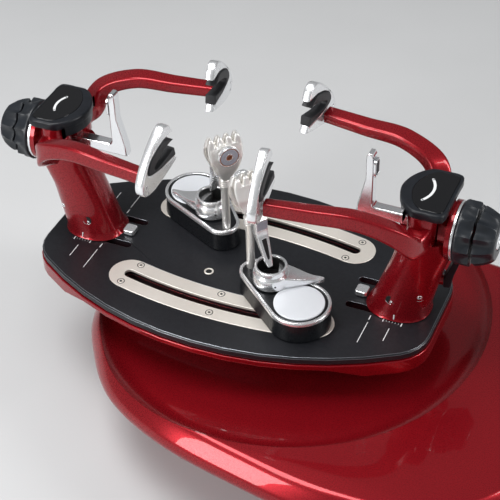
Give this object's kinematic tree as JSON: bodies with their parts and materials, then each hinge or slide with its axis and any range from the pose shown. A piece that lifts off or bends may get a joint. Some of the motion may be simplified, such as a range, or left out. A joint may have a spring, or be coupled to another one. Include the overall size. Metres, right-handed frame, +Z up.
{
  "type": "racket stringing machine",
  "caption": "Racket stringing machine: a turntable on a moulded housing carries two sliding masts with frame holders and two string clamps running in arc slots.",
  "frame": {"origin": "on the turntable axis, at the underside of the base plate", "axes": "+X from the left mast to the right mast, -Y towards the operator, +Z up"},
  "size_m": [0.6735, 0.4238, 0.365],
  "materials": {
    "red_paint": "deep metallic red paint under gloss lacquer",
    "black_anodised": "satin black anodised plate",
    "black_plastic": "fine-grained black moulding",
    "gloss_black": "polished black",
    "steel": "warm brushed steel",
    "satin_metal": "bead-blasted silver",
    "chrome": "bright chrome plate",
    "black_rubber": "firm black rubber",
    "disc_face": "pale blue-grey brushed plate"
  },
  "bodies": {
    "housing": {"housing_body": "red_paint", "base_plate": "black_anodised", "bearing_ring_fixed": "steel"},
    "turntable": {"turntable_hub": "black_anodised", "turntable_tray": "red_paint", "top_plate": "black_anodised", "slot_plate_front": "steel", "slot_plate_rear": "steel"},
    "left_mast": {"left_mast": "red_paint", "left_head_cover": "black_plastic", "left_cover_inlay": "gloss_black", "left_knob_collar": "satin_metal", "left_slide_key": "chrome"},
    "left_inner_support": {"left_inner_support": "chrome", "left_support_pad": "black_rubber"},
    "left_knob_outer": {"left_knob_outer": "black_plastic"},
    "left_knob_inner": {"left_knob_inner": "black_plastic"},
    "left_lock_lever": {"left_lock_lever": "black_plastic"},
    "left_arm_front": {"left_arm_front": "red_paint"},
    "left_holder_front": {"left_holder_front": "satin_metal", "left_pad_front": "black_rubber"},
    "left_arm_rear": {"left_arm_rear": "red_paint"},
    "left_holder_rear": {"left_holder_rear": "satin_metal", "left_pad_rear": "black_rubber"},
    "right_mast": {"right_mast": "red_paint", "right_head_cover": "black_plastic", "right_cover_inlay": "gloss_black", "right_knob_collar": "satin_metal", "right_slide_key": "chrome"},
    "right_inner_support": {"right_inner_support": "chrome", "right_support_pad": "black_rubber"},
    "right_knob_outer": {"right_knob_outer": "black_plastic"},
    "right_knob_inner": {"right_knob_inner": "black_plastic"},
    "right_lock_lever": {"right_lock_lever": "black_plastic"},
    "right_arm_front": {"right_arm_front": "red_paint"},
    "right_holder_front": {"right_holder_front": "satin_metal", "right_pad_front": "black_rubber"},
    "right_arm_rear": {"right_arm_rear": "red_paint"},
    "right_holder_rear": {"right_holder_rear": "satin_metal", "right_pad_rear": "black_rubber"},
    "clamp_front_foot": {"clamp_front_foot": "steel"},
    "clamp_front_base": {"clamp_front_base": "black_plastic", "clamp_front_rim": "chrome", "clamp_front_disc": "disc_face"},
    "clamp_front_lock_collar": {"clamp_front_lock_collar": "satin_metal"},
    "clamp_front_head": {"clamp_front_post": "steel", "clamp_front_jaw_fixed": "steel"},
    "clamp_front_cam_lever": {"clamp_front_cam_lever": "satin_metal"},
    "clamp_front_jaw_moving": {"clamp_front_jaw_moving": "steel"},
    "clamp_front_dial": {"clamp_front_dial": "satin_metal"},
    "clamp_rear_foot": {"clamp_rear_foot": "steel"},
    "clamp_rear_base": {"clamp_rear_base": "black_plastic", "clamp_rear_rim": "chrome", "clamp_rear_disc": "disc_face"},
    "clamp_rear_lock_collar": {"clamp_rear_lock_collar": "satin_metal"},
    "clamp_rear_head": {"clamp_rear_post": "steel", "clamp_rear_jaw_fixed": "steel"},
    "clamp_rear_cam_lever": {"clamp_rear_cam_lever": "satin_metal"},
    "clamp_rear_jaw_moving": {"clamp_rear_jaw_moving": "steel"},
    "clamp_rear_dial": {"clamp_rear_dial": "satin_metal"}
  },
  "joints": [
    {"name": "turntable_spin", "type": "hinge", "parent": "housing", "child": "turntable", "pos_m": [0, 0, 0.119], "axis": [0, 0, 1], "continuous": true},
    {"name": "left_mast_slide", "type": "slide", "parent": "turntable", "child": "left_mast", "axis": [1, 0, 0], "range_m": [-0.001, 0.018]},
    {"name": "left_support_slide", "type": "slide", "parent": "left_mast", "child": "left_inner_support", "axis": [1, 0, 0], "range_m": [-0.012, 0.008]},
    {"name": "left_outer_knob_turn", "type": "hinge", "parent": "left_mast", "child": "left_knob_outer", "pos_m": [-0.27, 0, 0.2715], "axis": [-1, 0, 0], "range_deg": [-440, 300]},
    {"name": "left_inner_knob_turn", "type": "hinge", "parent": "left_mast", "child": "left_knob_inner", "pos_m": [-0.25, 0, 0.2715], "axis": [-1, 0, 0], "range_deg": [-110, 110]},
    {"name": "left_lock_lever_turn", "type": "hinge", "parent": "left_mast", "child": "left_lock_lever", "pos_m": [-0.22987, 0.00765, 0.197], "axis": [-0.9781, 0.2079, 0], "range_deg": [-35, 35]},
    {"name": "left_arm_front_swing", "type": "hinge", "parent": "left_mast", "child": "left_arm_front", "pos_m": [-0.207, -0.022, 0.285], "axis": [0, 0, 1], "range_deg": [-7, 3]},
    {"name": "left_holder_front_tilt", "type": "hinge", "parent": "left_arm_front", "child": "left_holder_front", "pos_m": [-0.065, -0.085, 0.3135], "axis": [-0.9945, 0.1045, 0], "range_deg": [-6, 6]},
    {"name": "left_arm_rear_swing", "type": "hinge", "parent": "left_mast", "child": "left_arm_rear", "pos_m": [-0.207, 0.022, 0.285], "axis": [0, 0, 1], "range_deg": [-3, 7]},
    {"name": "left_holder_rear_tilt", "type": "hinge", "parent": "left_arm_rear", "child": "left_holder_rear", "pos_m": [-0.065, 0.085, 0.3135], "axis": [-0.9945, -0.1045, 0], "range_deg": [-6, 6]},
    {"name": "right_mast_slide", "type": "slide", "parent": "turntable", "child": "right_mast", "axis": [-1, 0, 0], "range_m": [-0.001, 0.018]},
    {"name": "right_support_slide", "type": "slide", "parent": "right_mast", "child": "right_inner_support", "axis": [-1, 0, 0], "range_m": [-0.012, 0.008]},
    {"name": "right_outer_knob_turn", "type": "hinge", "parent": "right_mast", "child": "right_knob_outer", "pos_m": [0.27, 0, 0.2715], "axis": [1, 0, 0], "range_deg": [-440, 300]},
    {"name": "right_inner_knob_turn", "type": "hinge", "parent": "right_mast", "child": "right_knob_inner", "pos_m": [0.25, 0, 0.2715], "axis": [1, 0, 0], "range_deg": [-110, 110]},
    {"name": "right_lock_lever_turn", "type": "hinge", "parent": "right_mast", "child": "right_lock_lever", "pos_m": [0.22987, 0.00765, 0.197], "axis": [0.9781, 0.2079, 0], "range_deg": [-35, 35]},
    {"name": "right_arm_front_swing", "type": "hinge", "parent": "right_mast", "child": "right_arm_front", "pos_m": [0.207, -0.022, 0.285], "axis": [0, 0, 1], "range_deg": [-3, 7]},
    {"name": "right_holder_front_tilt", "type": "hinge", "parent": "right_arm_front", "child": "right_holder_front", "pos_m": [0.065, -0.085, 0.3135], "axis": [0.9945, 0.1045, 0], "range_deg": [-6, 6]},
    {"name": "right_arm_rear_swing", "type": "hinge", "parent": "right_mast", "child": "right_arm_rear", "pos_m": [0.207, 0.022, 0.285], "axis": [0, 0, 1], "range_deg": [-7, 3]},
    {"name": "right_holder_rear_tilt", "type": "hinge", "parent": "right_arm_rear", "child": "right_holder_rear", "pos_m": [0.065, 0.085, 0.3135], "axis": [0.9945, -0.1045, 0], "range_deg": [-6, 6]},
    {"name": "clamp_front_travel", "type": "hinge", "parent": "turntable", "child": "clamp_front_foot", "pos_m": [0, 0.4645, 0.155], "axis": [0, 0, 1], "range_deg": [-2.2, 0.3]},
    {"name": "clamp_front_base_swivel", "type": "hinge", "parent": "clamp_front_foot", "child": "clamp_front_base", "pos_m": [0.094, -0.06726, 0.169], "axis": [0, 0, 1], "range_deg": [-4, 4]},
    {"name": "clamp_front_collar_turn", "type": "hinge", "parent": "clamp_front_base", "child": "clamp_front_lock_collar", "pos_m": [0.05391, -0.04683, 0.194], "axis": [0, 0, 1], "range_deg": [-30, 25]},
    {"name": "clamp_front_head_swivel", "type": "hinge", "parent": "clamp_front_base", "child": "clamp_front_head", "pos_m": [0.02361, -0.03139, 0.245], "axis": [0, 0, 1], "range_deg": [-5, 15]},
    {"name": "clamp_front_cam_lever_swing", "type": "hinge", "parent": "clamp_front_head", "child": "clamp_front_cam_lever", "pos_m": [0.03978, -0.04229, 0.2526], "axis": [-0.5592, -0.829, 0], "range_deg": [0, 25]},
    {"name": "clamp_front_jaw_open", "type": "slide", "parent": "clamp_front_head", "child": "clamp_front_jaw_moving", "axis": [0.829, -0.5592, 0], "range_m": [0, 0.0016]},
    {"name": "clamp_front_dial_turn", "type": "hinge", "parent": "clamp_front_head", "child": "clamp_front_dial", "pos_m": [0.012, -0.02356, 0.2876], "axis": [-0.829, 0.5592, 0], "range_deg": [-150, 150]},
    {"name": "clamp_rear_travel", "type": "hinge", "parent": "turntable", "child": "clamp_rear_foot", "pos_m": [0, -0.4645, 0.155], "axis": [0, 0, 1], "range_deg": [-2.2, 0.3]},
    {"name": "clamp_rear_base_swivel", "type": "hinge", "parent": "clamp_rear_foot", "child": "clamp_rear_base", "pos_m": [-0.09, 0.06795, 0.169], "axis": [0, 0, 1], "range_deg": [-4, 4]},
    {"name": "clamp_rear_collar_turn", "type": "hinge", "parent": "clamp_rear_base", "child": "clamp_rear_lock_collar", "pos_m": [-0.05454, 0.04024, 0.194], "axis": [0, 0, 1], "range_deg": [-30, 25]},
    {"name": "clamp_rear_head_swivel", "type": "hinge", "parent": "clamp_rear_base", "child": "clamp_rear_head", "pos_m": [-0.02775, 0.01931, 0.245], "axis": [0, 0, 1], "range_deg": [-5, 15]},
    {"name": "clamp_rear_cam_lever_swing", "type": "hinge", "parent": "clamp_rear_head", "child": "clamp_rear_cam_lever", "pos_m": [-0.04224, 0.03236, 0.2526], "axis": [0.6691, 0.7431, 0], "range_deg": [0, 25]},
    {"name": "clamp_rear_jaw_open", "type": "slide", "parent": "clamp_rear_head", "child": "clamp_rear_jaw_moving", "axis": [-0.7431, 0.6691, 0], "range_m": [0, 0.0016]},
    {"name": "clamp_rear_dial_turn", "type": "hinge", "parent": "clamp_rear_head", "child": "clamp_rear_dial", "pos_m": [-0.01734, 0.00994, 0.2876], "axis": [0.7431, -0.6691, 0], "range_deg": [-150, 150]}
  ],
  "couplings": [
    {"joint": "left_outer_knob_turn", "follows": "left_support_slide", "rad_per_m": 628.3},
    {"joint": "left_arm_rear_swing", "follows": "left_arm_front_swing", "ratio": -1},
    {"joint": "left_inner_knob_turn", "follows": "left_arm_front_swing", "ratio": 15},
    {"joint": "right_outer_knob_turn", "follows": "right_support_slide", "rad_per_m": 628.3},
    {"joint": "right_arm_rear_swing", "follows": "right_arm_front_swing", "ratio": -1},
    {"joint": "right_inner_knob_turn", "follows": "right_arm_front_swing", "ratio": 15},
    {"joint": "clamp_front_cam_lever_swing", "follows": "clamp_front_jaw_open", "rad_per_m": 272.71},
    {"joint": "clamp_rear_cam_lever_swing", "follows": "clamp_rear_jaw_open", "rad_per_m": 272.71}
  ]
}
